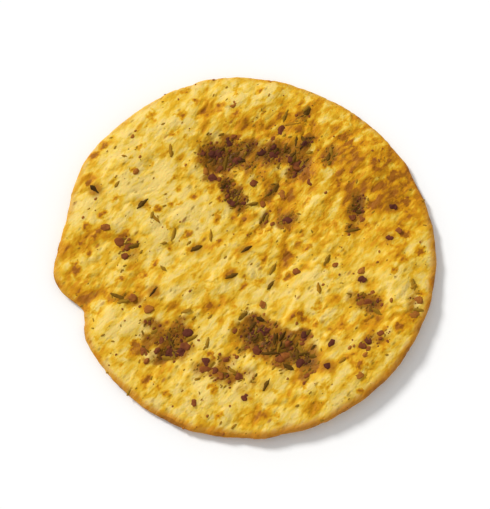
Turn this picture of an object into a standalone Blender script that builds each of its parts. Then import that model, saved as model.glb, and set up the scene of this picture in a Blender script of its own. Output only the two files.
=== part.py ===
"""A za'atar cracker: one thin, crisp round of golden dough with za'atar baked into its upper face.

The cracker lies flat, with +Z up out of its seasoned face and its origin at the bottom centre of its bounding box.
It is one solid. A rounded block is mapped to a disc, then its two faces are shaped by the curl of the round, its
blisters, the hollows that hold the za'atar and one crease. The largest flakes are fused to the upper face.
Lengths are in millimetres until a vertex is placed, and angles are in degrees.
"""

import math
import random

import bmesh
import bpy
from mathutils import Matrix, Vector, noise

MM = 0.001

# The round of dough.
RADIUS = 28.3
THICKNESS = 2.6
RIM_FACE = 1.1
RIM_UNDERCUT = 0.45
RIM_BULGE = 0.35
RIM_ROUNDING_POWER = 10

# Where the outline swells or shrinks, as (angle, span, amount): a lobe with a nick beside it, and gentler waves.
OUTLINE_SWELLS = (
    (187, 7, 1.0),
    (200, 6, -1.7),
    (213, 22, -0.9),
    (167, 8, -0.65),
    (148, 10, 0.25),
    (130, 8, -0.3),
    (95, 20, 0.25),
    (355, 40, 0.5),
    (255, 25, -0.25),
)
RAGGED_EDGE, RAGGED_PER_RADIUS = 0.16, 7.0

# The curl of the round in the oven, and how far its underside was pressed flat on the tray.
CURL, CURL_ANGLE = 0.62, 140
SWELL, SWELL_SPACING = 0.40, 11.0
PRESSED_FLAT = 0.50

# Rolling relief of the upper face, as (height, spacing).
ROLLING = ((0.34, 7.0), (0.24, 3.3))
RIM_CALM = 0.75

# Raised blisters, as (x, y, radius, height).
BLISTERS = (
    (1.2, 22.7, 6.0, 0.55),
    (-10.9, 19.1, 7.0, 0.45),
    (-19.0, 12.7, 6.5, 0.40),
    (-13.8, 5.7, 7.5, 0.55),
    (-6.6, 6.5, 5.5, 0.40),
    (-11.2, -5.5, 5.5, 0.60),
    (2.4, 0.1, 6.0, 0.35),
    (9.8, -5.5, 6.5, 0.50),
    (22.0, -1.9, 5.0, 0.40),
    (12.6, 9.1, 5.5, 0.45),
    (12.4, -20.9, 6.5, 0.50),
    (-8.0, -21.9, 6.5, 0.45),
    (-21.0, -10.7, 5.5, 0.45),
    (23.2, -13.5, 4.5, 0.35),
    (18.4, 14.5, 6.0, 0.45),
)

# Patches of za'atar in hollows of the dough, as (x, y, half length, half width, turn, depth of the hollow).
PATCHES = (
    (-2.8, 15.3, 3.9, 2.5, 0, 0.50),
    (5.0, 16.0, 3.4, 1.9, 8, 0.40),
    (8.3, 13.7, 2.3, 1.0, 35, 0.46),
    (-1.9, 9.3, 2.3, 1.3, -60, 0.42),
    (17.2, 6.3, 3.2, 1.1, 80, 0.36),
    (-17.8, 0.5, 2.7, 1.4, -60, 0.16),
    (-11.5, -13.8, 3.9, 2.9, 15, 0.30),
    (-17.8, -7.6, 2.8, 1.0, -15, 0.16),
    (1.8, -13.3, 3.3, 2.7, -45, 0.48),
    (7.2, -15.5, 3.8, 2.7, -35, 0.48),
    (-4.0, -18.6, 4.2, 1.7, -15, 0.23),
    (18.4, -8.3, 2.2, 1.5, -25, 0.32),
    (19.2, -13.9, 2.4, 1.2, 18, 0.20),
    (25.2, -8.3, 3.0, 0.9, 80, 0.14),
)

# A crease that runs in from the lobe: its two ends, its depth and half width.
CREASE_START, CREASE_END = (-27.5, -1.0), (-19.5, 2.4)
CREASE_DEPTH, CREASE_HALF_WIDTH = 0.38, 1.1

# Flakes of herb and grains of sumac that are large enough to show from a step away.
# Ranges of half length and half width, then half height.
FLAKE_SIZES = {
    "herb": ((0.95, 1.55), (0.38, 0.58), 0.34),
    "sumac": ((0.62, 0.95), (0.48, 0.70), 0.42),
}
HERB_SHARE = 0.55
FLAKE_SUNK = 0.10
FLAKE_TILT = 12
FLAKES_PER_MM2 = 0.30
STRAY_FLAKES = 22
STRAY_REACH = 0.94
FLAKE_SEED = 11

# Single flakes that lie apart from the patches, as (x, y, turn).
LONE_FLAKES = {
    "herb": (
        (-23.0, 9.6, -45),
        (-15.8, 7.4, 45),
        (-7.4, 0.5, 25),
        (-0.1, 0.1, 35),
        (9.6, 22.8, 55),
        (13.0, 15.4, 70),
        (4.4, 9.9, 55),
        (3.2, 5.4, 70),
        (1.0, 7.6, 10),
        (6.3, 22.1, 70),
        (-11.0, 2.6, 80),
        (-13.8, -6.4, 50),
        (-2.0, -3.9, 25),
        (3.0, -20.9, 60),
        (4.0, -5.1, 50),
        (12.3, -1.5, 60),
    ),
    "sumac": (
        (5.6, 19.6, 60),
        (10.2, 11.1, 20),
        (6.3, 4.9, 20),
        (-5.2, 11.8, 15),
        (1.3, 11.0, 40),
        (22.7, 7.1, 0),
        (22.0, 2.1, 15),
        (17.7, -4.6, 65),
        (8.7, -13.1, 50),
        (13.0, -14.4, 50),
        (12.4, -17.9, 15),
        (-6.0, -18.4, 10),
        (0.0, -22.5, 45),
        (-7.5, -23.2, 75),
        (7.8, -3.2, 35),
    ),
}

# The mesh: faces across the disc, and rows of faces round its rim.
CELLS_ACROSS = 36
RIM_ROWS = 3

# The layer of the noise that each use reads, so that no two share a pattern.
SWELL_LAYER, ROLLING_LAYER, RAGGED_LAYER = 1.0, 2.0, 4.0

DOUGH_COLOUR = (0.66, 0.38, 0.055, 1.0)
DOUGH_ROUGHNESS = 0.55
HALF_TURN = 180.0
GOLDEN_ANGLE = math.pi * (3 - math.sqrt(5))


def clear_scene():
    """Removes every object of the scene."""
    for obj in list(bpy.data.objects):
        bpy.data.objects.remove(obj)


def flat_noise(x, y, spacing, layer):
    """Smooth noise of about -1 to 1 over the plane; each layer is a pattern of its own."""
    return noise.noise(Vector((x / spacing, y / spacing, layer)))


def hump(distance, span):
    """A bell of height 1 that is a third high one span away from its middle."""
    return math.exp(-((distance / span) ** 2))


def outline_radius(angle):
    """How far the rim is from the middle at an angle in radians."""
    radius = RADIUS
    for place, span, amount in OUTLINE_SWELLS:
        away = (math.degrees(angle) - place + HALF_TURN) % (2 * HALF_TURN) - HALF_TURN
        radius += amount * hump(away, span)
    across, along = math.cos(angle) * RAGGED_PER_RADIUS, math.sin(angle) * RAGGED_PER_RADIUS
    return radius + RAGGED_EDGE * flat_noise(across, along, 1.0, RAGGED_LAYER)


def outline_middle():
    """The middle of the outline's bounding box."""
    angles = [math.radians(degree) for degree in range(360)]
    xs = [outline_radius(angle) * math.cos(angle) for angle in angles]
    ys = [outline_radius(angle) * math.sin(angle) for angle in angles]
    return Vector(((min(xs) + max(xs)) / 2, (min(ys) + max(ys)) / 2, 0.0))


def share_of_radius(x, y):
    """How far out a point is, from 0 in the middle to 1 on the rim."""
    return math.hypot(x, y) / outline_radius(math.atan2(y, x))


def lift(x, y):
    """How far the dough is held above the tray: two sides curl up, and the whole round swells a little."""
    out = share_of_radius(x, y)
    curl = CURL * out**2 * (1 + math.cos(2 * (math.atan2(y, x) - math.radians(CURL_ANGLE))))
    return curl + SWELL * (0.5 + flat_noise(x, y, SWELL_SPACING, SWELL_LAYER)) - PRESSED_FLAT


def crease(x, y):
    """Depth of the crease at a point."""
    start, end, point = Vector(CREASE_START), Vector(CREASE_END), Vector((x, y))
    run = end - start
    along = min(1.0, max(0.0, (point - start).dot(run) / run.length_squared))
    return CREASE_DEPTH * hump((point - start - along * run).length, CREASE_HALF_WIDTH)


def blisters(x, y):
    """Height of the blisters at a point."""
    height = 0.0
    for at_x, at_y, radius, rise in BLISTERS:
        inside = 1 - ((x - at_x) ** 2 + (y - at_y) ** 2) / radius**2
        height += rise * max(0.0, inside) ** 2
    return height


def hollows(x, y):
    """Depth of the hollows that hold za'atar at a point."""
    depth = 0.0
    for at_x, at_y, half_length, half_width, turn, deep in PATCHES:
        local = Matrix.Rotation(-math.radians(turn), 2) @ Vector((x - at_x, y - at_y))
        depth += deep * math.exp(-((local.x / half_length) ** 2) - (local.y / half_width) ** 2)
    return depth


def lower_face(x, y):
    """Height of the underside: pressed flat where it lay on the tray, and rounded up to the rim."""
    out = share_of_radius(x, y)
    return max(0.0, lift(x, y) + RIM_UNDERCUT * out**RIM_ROUNDING_POWER)


def upper_face(x, y):
    """Height of the seasoned face: the dough's thickness, its relief, and the rounding down to the rim."""
    out = share_of_radius(x, y)
    shoulder = (THICKNESS - RIM_FACE - RIM_UNDERCUT) * out**RIM_ROUNDING_POWER
    rolling = sum(size * flat_noise(x, y, spacing, ROLLING_LAYER) for size, spacing in ROLLING)
    relief = rolling + blisters(x, y) - hollows(x, y) - crease(x, y)
    return lift(x, y) + THICKNESS - shoulder + relief * (1 - RIM_CALM * out**RIM_ROUNDING_POWER)


def disc_point(across, up):
    """The point of the round disc that a point of the square face of side 2 goes to, ring for ring."""
    ring = max(abs(across), abs(up))
    if ring == 0.0:
        return 0.0, 0.0
    if abs(across) >= abs(up):
        angle = math.pi / 4 * up / across + (math.pi if across < 0 else 0.0)
    else:
        angle = math.pi / 2 - math.pi / 4 * across / up + (math.pi if up < 0 else 0.0)
    reach = ring * outline_radius(angle)
    return reach * math.cos(angle), reach * math.sin(angle)


def block():
    """A cube of side 2 with a grid of faces above and below, and a few rows of faces round its sides."""
    mesh = bmesh.new()
    bmesh.ops.create_cube(mesh, size=2.0)

    def edges(upright):
        return [edge for edge in mesh.edges if (abs(edge.verts[0].co.z - edge.verts[1].co.z) > 1.0) == upright]

    bmesh.ops.subdivide_edges(mesh, edges=edges(upright=False), cuts=CELLS_ACROSS - 1, use_grid_fill=True)
    bmesh.ops.subdivide_edges(mesh, edges=edges(upright=True), cuts=RIM_ROWS - 1, use_grid_fill=True)
    return mesh


def shape_dough(mesh):
    """Moves the block's vertices to the faces and the rounded rim of the cracker."""
    for vertex in mesh.verts:
        x, y = disc_point(vertex.co.x, vertex.co.y)
        up = (vertex.co.z + 1) / 2
        low, high = lower_face(x, y), upper_face(x, y)
        bulge = 1 + RIM_BULGE * 4 * up * (1 - up) / RADIUS
        vertex.co = Vector((x * bulge, y * bulge, low + up * (high - low)))


def as_object(mesh, name, collection):
    """Links a bmesh in millimetres as an object in metres, centred on the outline, and frees the bmesh."""
    middle = outline_middle()
    for vertex in mesh.verts:
        vertex.co = (vertex.co - middle) * MM
    bmesh.ops.triangulate(mesh, faces=mesh.faces)
    data = bpy.data.meshes.new(name)
    mesh.to_mesh(data)
    mesh.free()
    obj = bpy.data.objects.new(name, data)
    collection.objects.link(obj)
    return obj


def any_flake(x, y, draw):
    """A flake of either kind at a place, turned any way, as (kind, x, y, turn)."""
    kind = "herb" if draw.random() < HERB_SHARE else "sumac"
    return kind, x, y, draw.uniform(0, 2 * HALF_TURN)


def patch_flakes(draw):
    """Flakes in the patches of za'atar, as many as each patch's area asks for."""
    for at_x, at_y, half_length, half_width, turn, _ in PATCHES:
        for _ in range(round(math.pi * half_length * half_width * FLAKES_PER_MM2)):
            reach, angle = math.sqrt(draw.random()), draw.uniform(0, 2 * math.pi)
            inside = Vector((half_length * reach * math.cos(angle), half_width * reach * math.sin(angle)))
            place = Matrix.Rotation(math.radians(turn), 2) @ inside
            yield any_flake(at_x + place.x, at_y + place.y, draw)


def stray_flakes(draw):
    """Single flakes that are spread over the face in a sunflower's spiral and then shaken."""
    gap = RADIUS / math.sqrt(STRAY_FLAKES)
    for count in range(STRAY_FLAKES):
        reach = RADIUS * STRAY_REACH * math.sqrt((count + 0.5) / STRAY_FLAKES)
        angle = count * GOLDEN_ANGLE
        x = reach * math.cos(angle) + draw.uniform(-gap, gap) / 2
        y = reach * math.sin(angle) + draw.uniform(-gap, gap) / 2
        if share_of_radius(x, y) < STRAY_REACH:
            yield any_flake(x, y, draw)


def all_flakes(draw):
    """Every flake: the ones that lie apart, then those in the patches, then the strays."""
    for kind, places in LONE_FLAKES.items():
        for x, y, turn in places:
            yield kind, x, y, turn
    yield from patch_flakes(draw)
    yield from stray_flakes(draw)


def flake_mesh(kind, x, y, turn, draw):
    """One flake or grain: a flattened lump, laid on the face and sunk into it."""
    mesh = bmesh.new()
    bmesh.ops.create_icosphere(mesh, subdivisions=1, radius=1.0)
    lengths, widths, half_height = FLAKE_SIZES[kind]
    size = Matrix.Diagonal((draw.uniform(*lengths), draw.uniform(*widths), half_height))
    tilt = Matrix.Rotation(math.radians(draw.uniform(-FLAKE_TILT, FLAKE_TILT)), 3, "Y")
    spin = Matrix.Rotation(math.radians(turn), 3, "Z")
    place = Vector((x, y, upper_face(x, y) - FLAKE_SUNK))
    for vertex in mesh.verts:
        vertex.co = spin @ tilt @ size @ vertex.co + place
    return mesh


def keep_largest_shell(obj):
    """Deletes every shell of the mesh but the largest, which fills sealed hollows and drops scraps."""
    mesh = bmesh.new()
    mesh.from_mesh(obj.data)
    left, shells = set(mesh.verts), []
    while left:
        shell, edge = set(), [left.pop()]
        while edge:
            vertex = edge.pop()
            shell.add(vertex)
            near = {link.other_vert(vertex) for link in vertex.link_edges} & left
            left -= near
            edge.extend(near)
        shells.append(shell)
    largest = max(shells, key=len)
    bmesh.ops.delete(mesh, geom=[vertex for vertex in mesh.verts if vertex not in largest], context="VERTS")
    mesh.to_mesh(obj.data)
    mesh.free()


def fuse(obj, collection):
    """Joins the collection's objects to obj with one Boolean union, and removes them."""
    union = obj.modifiers.new("fused flakes", "BOOLEAN")
    union.operation = "UNION"
    union.operand_type = "COLLECTION"
    union.collection = collection
    graph = bpy.context.evaluated_depsgraph_get()
    fused = bpy.data.meshes.new_from_object(obj.evaluated_get(graph))
    obj.modifiers.remove(union)
    obj.data = fused
    for part in list(collection.objects):
        bpy.data.objects.remove(part)
    bpy.data.collections.remove(collection)
    keep_largest_shell(obj)


def dough_material():
    """Golden baked dough."""
    material = bpy.data.materials.new("baked dough")
    material.use_nodes = True
    shader = material.node_tree.nodes["Principled BSDF"]
    shader.inputs["Base Color"].default_value = DOUGH_COLOUR
    shader.inputs["Roughness"].default_value = DOUGH_ROUGHNESS
    shader.inputs["Metallic"].default_value = 0.0
    return material


def new_collection(name):
    """A new collection in the scene."""
    collection = bpy.data.collections.new(name)
    bpy.context.scene.collection.children.link(collection)
    return collection


def main():
    """Builds the cracker."""
    clear_scene()
    crackers, flakes = new_collection("zaatar cracker"), new_collection("flakes")
    dough = block()
    shape_dough(dough)
    cracker = as_object(dough, "cracker", crackers)
    draw = random.Random(FLAKE_SEED)
    for count, (kind, x, y, turn) in enumerate(all_flakes(draw)):
        as_object(flake_mesh(kind, x, y, turn, draw), f"{kind}_{count}", flakes)
    fuse(cracker, flakes)
    cracker.data.materials.clear()
    cracker.data.materials.append(dough_material())
    cracker.data.shade_smooth()


main()
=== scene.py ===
"""Dresses the za'atar cracker: baked dough with blisters and a browned rim, and the za'atar on it.

The dough is one fine mesh with the form of the solid that it replaces. The herb flakes and sumac
grains of that solid lie on it, each in its own place, with the crumbs that are too fine for the
solid strewn between them. Lengths are in millimetres until a mesh is placed, and angles are in
degrees.
"""

from __future__ import annotations

import logging
import math
import random
from collections.abc import Iterator
from dataclasses import dataclass, field
from enum import Enum
from typing import Any

import bmesh
import bpy
import numpy as np
from mathutils import Color, Euler, Matrix, Vector, noise


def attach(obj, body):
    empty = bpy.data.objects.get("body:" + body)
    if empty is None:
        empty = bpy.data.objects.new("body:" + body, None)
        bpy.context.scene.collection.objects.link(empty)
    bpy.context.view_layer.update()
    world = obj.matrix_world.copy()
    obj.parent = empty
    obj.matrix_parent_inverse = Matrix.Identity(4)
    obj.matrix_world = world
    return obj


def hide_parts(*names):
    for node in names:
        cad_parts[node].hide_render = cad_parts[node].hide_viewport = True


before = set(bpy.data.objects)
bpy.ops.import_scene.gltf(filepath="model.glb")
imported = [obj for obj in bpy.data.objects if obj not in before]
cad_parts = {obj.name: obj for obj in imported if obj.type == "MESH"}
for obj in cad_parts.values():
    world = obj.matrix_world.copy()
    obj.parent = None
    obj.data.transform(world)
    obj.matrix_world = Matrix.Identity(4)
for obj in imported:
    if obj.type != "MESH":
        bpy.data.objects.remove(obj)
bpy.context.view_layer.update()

LOG = logging.getLogger("cracker")
BODY = "root"
NODE = "cracker"
MM = 0.001
PER_MM2 = 1e6
FULL_TURN = 360.0
GOLDEN_ANGLE = math.pi * (3 - math.sqrt(5))
WHITE_ON_SCREEN = 255

Colour = tuple[float, float, float, float]
Triple = tuple[float, float, float]
Range = tuple[float, float]
Array = np.ndarray


class Slot(Enum):
    """The material slots of the record."""

    DOUGH = "dough"
    HERBS = "herbs"
    SUMAC = "sumac"


class Flake(Enum):
    """The kinds of flake that are large enough to be part of the solid."""

    HERB = "herb"
    SUMAC = "sumac"


class Draw(Enum):
    """What is drawn at random for each strewn bit; the value keeps the draws apart."""

    SWING = 1
    LEAN = 2
    SIZE = 4
    TONE = 5


def srgb(*shown: int) -> Colour:
    """A colour as a node takes it, from the red, green and blue of 0 to 255 that a screen shows."""
    screen = Color([value / WHITE_ON_SCREEN for value in shown])
    return (*screen.from_srgb_to_scene_linear(), 1.0)


# Node trees as expressions


class Link:
    """An output socket of a node, which Python's operators combine into Math nodes."""

    def __init__(self, graph: Graph, socket: bpy.types.NodeSocket) -> None:
        """Wraps a socket of a graph."""
        self.graph = graph
        self.socket = socket

    def math(self, operation: str, *values: Any) -> Link:
        """One Math node on these values, in order."""
        return self.graph.add("ShaderNodeMath", dict(enumerate(values)), operation=operation)

    def __add__(self, other: Any) -> Link:
        """self + other."""
        return self.math("ADD", self, other)

    def __sub__(self, other: Any) -> Link:
        """self - other."""
        return self.math("SUBTRACT", self, other)

    def __rsub__(self, other: Any) -> Link:
        """other - self."""
        return self.math("SUBTRACT", other, self)

    def __mul__(self, other: Any) -> Link:
        """self * other."""
        return self.math("MULTIPLY", self, other)

    def __rtruediv__(self, other: Any) -> Link:
        """other / self."""
        return self.math("DIVIDE", other, self)

    __radd__ = __add__
    __rmul__ = __mul__

    def clamped(self) -> Link:
        """The value held between 0 and 1."""
        return self.math("MAXIMUM", self.math("MINIMUM", self, 1.0), 0.0)

    def step(self, low: float, high: float) -> Link:
        """A smooth rise of the value, or a fall where low is the higher one.

        Args:
            low: Up to here it is 0.
            high: From here on it is 1.

        Returns:
            The rise, from 0 to 1.
        """
        values = {"Value": self, "From Min": min(low, high), "From Max": max(low, high)}
        risen = self.graph.add("ShaderNodeMapRange", values, interpolation_type="SMOOTHSTEP")
        return 1 - risen if low > high else risen

    def vector(self, operation: str, other: Any) -> Link:
        """One Vector Math node on this vector and another."""
        return self.graph.add("ShaderNodeVectorMath", {0: self, 1: other}, operation=operation)

    def scaled(self, scale: Any) -> Link:
        """This vector times a number."""
        return self.graph.add("ShaderNodeVectorMath", {0: self, "Scale": scale}, operation="SCALE")

    def output(self, name: str) -> Link:
        """Another output of the node that this link comes from."""
        return Link(self.graph, self.graph.socket_of(self.socket.node.outputs, name))


class Graph:
    """A node tree that is written as expressions."""

    def __init__(self, tree: bpy.types.NodeTree) -> None:
        """Wraps a node tree."""
        self.tree = tree

    @staticmethod
    def socket_of(sockets: Any, key: str | int) -> bpy.types.NodeSocket:
        """The socket of this number, or the shown one of this name."""
        named = (socket for socket in sockets if socket.enabled and socket.name == key)
        return sockets[key] if isinstance(key, int) else next(named)

    def add(self, kind: str, values: dict[Any, Any] | None = None, **settings: Any) -> Link:
        """Adds a node.

        Args:
            kind: The node's type.
            values: The values or links of its inputs, by name or number.
            settings: Its settings, which are set first.

        Returns:
            The node's first shown output.
        """
        node = self.tree.nodes.new(kind)
        for name, setting in settings.items():
            setattr(node, name, setting)
        for key, value in (values or {}).items():
            self.feed(self.socket_of(node.inputs, key), value)
        return Link(self, next(socket for socket in node.outputs if socket.enabled))

    def feed(self, socket: bpy.types.NodeSocket, value: Any) -> None:
        """Gives an input its value.

        Args:
            socket: The input.
            value: A Link, which is linked to it, or a plain value, which it is set to.
        """
        if isinstance(value, Link):
            self.tree.links.new(value.socket, socket)
        else:
            socket.default_value = value

    def noise(self, where: Link, spacing: float, detail: float = 2.0, warp: float = 0.0) -> Link:
        """Noise of 0 to 1 over a place in millimetres, with about this spacing."""
        values = {"Vector": where, "Scale": 1 / spacing, "Detail": detail, "Distortion": warp}
        return self.add("ShaderNodeTexNoise", values)

    def cells(self, where: Link, spacing: float) -> Link:
        """Distance in spacings to the nearest of many points; Color differs for each point."""
        return self.add("ShaderNodeTexVoronoi", {"Vector": where, "Scale": 1 / spacing})

    def drawn_out(self, place: Link, turn: float, stretch: float) -> Link:
        """A place whose patterns come out longer one way.

        Args:
            place: The place.
            turn: The angle of that way.
            stretch: How many times longer they come out.

        Returns:
            The place that the patterns are to read.
        """
        values = {"Vector": place, "Angle": -math.radians(turn)}
        turned = self.add("ShaderNodeVectorRotate", values, rotation_type="Z_AXIS")
        return turned.vector("MULTIPLY", (1 / stretch, 1.0, 1.0))

    def shaken(self, place: Link, spacing: float, shake: float) -> Link:
        """A place that noise moves by up to a shake, which makes what reads it ragged."""
        return place.vector("ADD", self.noise(place, spacing).output("Color").scaled(shake))

    def mix(self, factor: Any, first: Any, second: Any) -> Link:
        """The first colour where the factor is 0, and the second where it is 1."""
        values = {"Factor": factor, "A": first, "B": second}
        return self.add("ShaderNodeMix", values, data_type="RGBA")

    def parts(self, vector: Link) -> tuple[Link, Link, Link]:
        """The three parts of a vector or colour."""
        x = self.add("ShaderNodeSeparateXYZ", {"Vector": vector})
        return x, x.output("Y"), x.output("Z")

    def joined(self, x: Any = 0.0, y: Any = 0.0, z: Any = 0.0) -> Link:
        """A vector of three parts."""
        return self.add("ShaderNodeCombineXYZ", {"X": x, "Y": y, "Z": z})


class FinishGraph(Graph):
    """The node tree of one material with a Principled BSDF."""

    def __init__(self, name: str) -> None:
        """Makes the material.

        Args:
            name: The material's name.
        """
        self.material = bpy.data.materials.new(name)
        self.material.use_nodes = True
        super().__init__(self.material.node_tree)
        self.shader = self.tree.nodes["Principled BSDF"]

    def place(self) -> Link:
        """Where a point of the piece is, in millimetres."""
        return self.add("ShaderNodeTexCoord").output("Object").scaled(1 / MM)

    def attribute(self, name: str) -> Link:
        """A number that the piece's mesh holds at each point."""
        return self.add("ShaderNodeAttribute", attribute_name=name).output("Fac")

    def bump(self, height: Link, distance: float, **under: Link) -> Link:
        """A normal bumped by a height of 0 to 1 times a distance in mm, over any given Normal."""
        return self.add("ShaderNodeBump", {"Height": height, "Distance": distance * MM, **under})

    def finish(self, **values: Any) -> bpy.types.Material:
        """Ends the material.

        Args:
            values: The values or links of the shader's inputs, named with _ for a space.

        Returns:
            The material.
        """
        for name, value in values.items():
            self.feed(self.shader.inputs[name.replace("_", " ")], value)
        return self.material


class GrowthGraph(Graph):
    """A Geometry Nodes tree that takes a mesh and named sizes, and gives a mesh."""

    SOCKETS = {float: "NodeSocketFloat", int: "NodeSocketInt", tuple: "NodeSocketVector"}

    def __init__(self, name: str, sizes: dict[str, Any]) -> None:
        """Makes the tree.

        Args:
            name: The tree's name.
            sizes: The values of its inputs beside Geometry and Material, by name.
        """
        super().__init__(bpy.data.node_groups.new(name, "GeometryNodeTree"))
        sockets = self.tree.interface
        sockets.new_socket("Geometry", in_out="OUTPUT", socket_type="NodeSocketGeometry")
        kinds = {title: self.SOCKETS[type(size)] for title, size in sizes.items()}
        kinds = {"Geometry": "NodeSocketGeometry", **kinds, "Material": "NodeSocketMaterial"}
        self.sizes = sizes
        self.identifiers = {}
        for title, kind in kinds.items():
            socket = sockets.new_socket(title, in_out="INPUT", socket_type=kind)
            self.identifiers[title] = socket.identifier
        self.entry = self.tree.nodes.new("NodeGroupInput")

    def given(self, title: str) -> Link:
        """The value of one of the tree's inputs."""
        return Link(self, self.entry.outputs[title])

    def place(self) -> Link:
        """Where a point is, in millimetres."""
        return self.add("GeometryNodeInputPosition").scaled(1 / MM)

    def spaced(self, place: Link, title: str) -> Link:
        """A place counted in the spacing that one of the tree's inputs gives."""
        return place.scaled(1 / self.given(title))

    def attribute(self, name: str, kind: str = "FLOAT") -> Link:
        """What the mesh holds at each point under this name."""
        return self.add("GeometryNodeInputNamedAttribute", {"Name": name}, data_type=kind)

    def chance(self, low: Any, high: Any, draw: Draw, kind: str = "FLOAT") -> Link:
        """A random value of low to high for each point or instance."""
        values = {"Min": low, "Max": high, "Seed": self.given("Seed") + draw.value}
        return self.add("FunctionNodeRandomValue", values, data_type=kind)

    def stored(self, geometry: Link, name: str, value: Link, domain: str) -> Link:
        """The geometry with a number stored under this name, for each point or instance."""
        values = {"Geometry": geometry, "Name": name, "Value": value}
        return self.add("GeometryNodeStoreNamedAttribute", values, data_type="FLOAT", domain=domain)

    def moved(self, mesh: Link, **how: Link) -> Link:
        """The mesh with each point moved by an Offset, or to a Position, in metres."""
        return self.add("GeometryNodeSetPosition", {"Geometry": mesh, **how})

    def close(self, mesh: Link, smooth: bool = True) -> None:
        """Ends the tree, with instances made real and the Material input set.

        Args:
            mesh: What the tree gives.
            smooth: Whether its faces are shaded smooth and not flat.
        """
        shaded = self.add("GeometryNodeSetShadeSmooth", {"Geometry": mesh, "Shade Smooth": smooth})
        real = self.add("GeometryNodeRealizeInstances", {"Geometry": shaded})
        values = {"Geometry": real, "Material": self.given("Material")}
        dressed = self.add("GeometryNodeSetMaterial", values)
        way_out = self.tree.nodes.new("NodeGroupOutput")
        self.tree.links.new(dressed.socket, way_out.inputs["Geometry"])

    def grow(self, obj: bpy.types.Object, material: bpy.types.Material) -> bpy.types.Mesh:
        """Runs the tree on an object.

        Args:
            obj: The object whose mesh goes in; it is left as it was.
            material: The finish of the mesh that comes out.

        Returns:
            The plain mesh that comes out.
        """
        modifier = obj.modifiers.new(self.tree.name, "NODES")
        modifier.node_group = self.tree
        for title, value in {**self.sizes, "Material": material}.items():
            modifier[self.identifiers[title]] = value
        graph = bpy.context.evaluated_depsgraph_get()
        made = bpy.data.meshes.new_from_object(
            obj.evaluated_get(graph), preserve_all_data_layers=True, depsgraph=graph
        )
        obj.modifiers.remove(modifier)
        return made


def link_object(name: str, mesh: bpy.types.Mesh) -> bpy.types.Object:
    """Makes an object of a mesh, at the origin, in the scene's collection.

    Args:
        name: The object's name.
        mesh: Its mesh.

    Returns:
        The object.
    """
    obj = bpy.data.objects.new(name, mesh)
    bpy.context.scene.collection.objects.link(obj)
    return obj


def set_numbers(mesh: bpy.types.Mesh, name: str, values: Array) -> None:
    """Stores a number, or a triple of them, at each point of a mesh.

    Args:
        mesh: The mesh.
        name: What the numbers are stored as.
        values: A number or a triple for each point.
    """
    triple = values.ndim > 1
    held = mesh.attributes.new(name, "FLOAT_VECTOR" if triple else "FLOAT", "POINT")
    held.data.foreach_set("vector" if triple else "value", values.astype(np.float32).ravel())


def finished_piece(name: str, mesh: bpy.types.Mesh, slot: Slot) -> bpy.types.Object:
    """Makes a piece, tells the frame what it stands for, and logs it.

    Args:
        name: The piece's name.
        mesh: Its finished mesh.
        slot: The record's slot that its finish is from.

    Returns:
        The piece.
    """
    piece = link_object(name, mesh)
    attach(piece, BODY)
    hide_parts(NODE)
    LOG.info("%s: %d faces, slot %s", piece.name, len(piece.data.polygons), slot.value)
    return piece


# The form of the cracker, with the same sizes and formulas as the solid


@dataclass(frozen=True)
class Swell:
    """A stretch of the outline that swells out, or shrinks in where its amount is negative."""

    angle: float
    span: float
    amount: float


@dataclass(frozen=True)
class Blister:
    """A low dome that the oven raised in the dough."""

    x: float
    y: float
    radius: float
    height: float


@dataclass(frozen=True)
class Spot:
    """An oval place on the upper face."""

    x: float
    y: float
    half_length: float
    half_width: float
    turn: float
    strength: float

    def reach(self, x: Array, y: Array) -> Array:
        """How far points are from the spot's middle.

        Args:
            x: How far right the points are.
            y: How far up they are.

        Returns:
            A number for each, which is 1 on the spot's edge.
        """
        cos, sin = math.cos(math.radians(self.turn)), math.sin(math.radians(self.turn))
        along = ((x - self.x) * cos + (y - self.y) * sin) / self.half_length
        across = ((y - self.y) * cos - (x - self.x) * sin) / self.half_width
        return np.hypot(along, across)


def hump(distance: Array, span: float) -> Array:
    """A bell of height 1 that is a third high one span away from its middle."""
    return np.exp(-((distance / span) ** 2))


def flat_noise(x: Array, y: Array, spacing: float, layer: float) -> Array:
    """Smooth noise of about -1 to 1 over the plane; each layer is a pattern of its own."""
    points = zip((x / spacing).tolist(), (y / spacing).tolist())
    return np.array([noise.noise((across, up, layer)) for across, up in points])


@dataclass(frozen=True)
class Waves:
    """Smooth noise over the plane: its height, its spacing, and the layer that makes it its own."""

    height: float
    spacing: float
    layer: float

    def over(self, x: Array, y: Array) -> Array:
        """The layer's height at points."""
        return self.height * flat_noise(x, y, self.spacing, self.layer)


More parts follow.
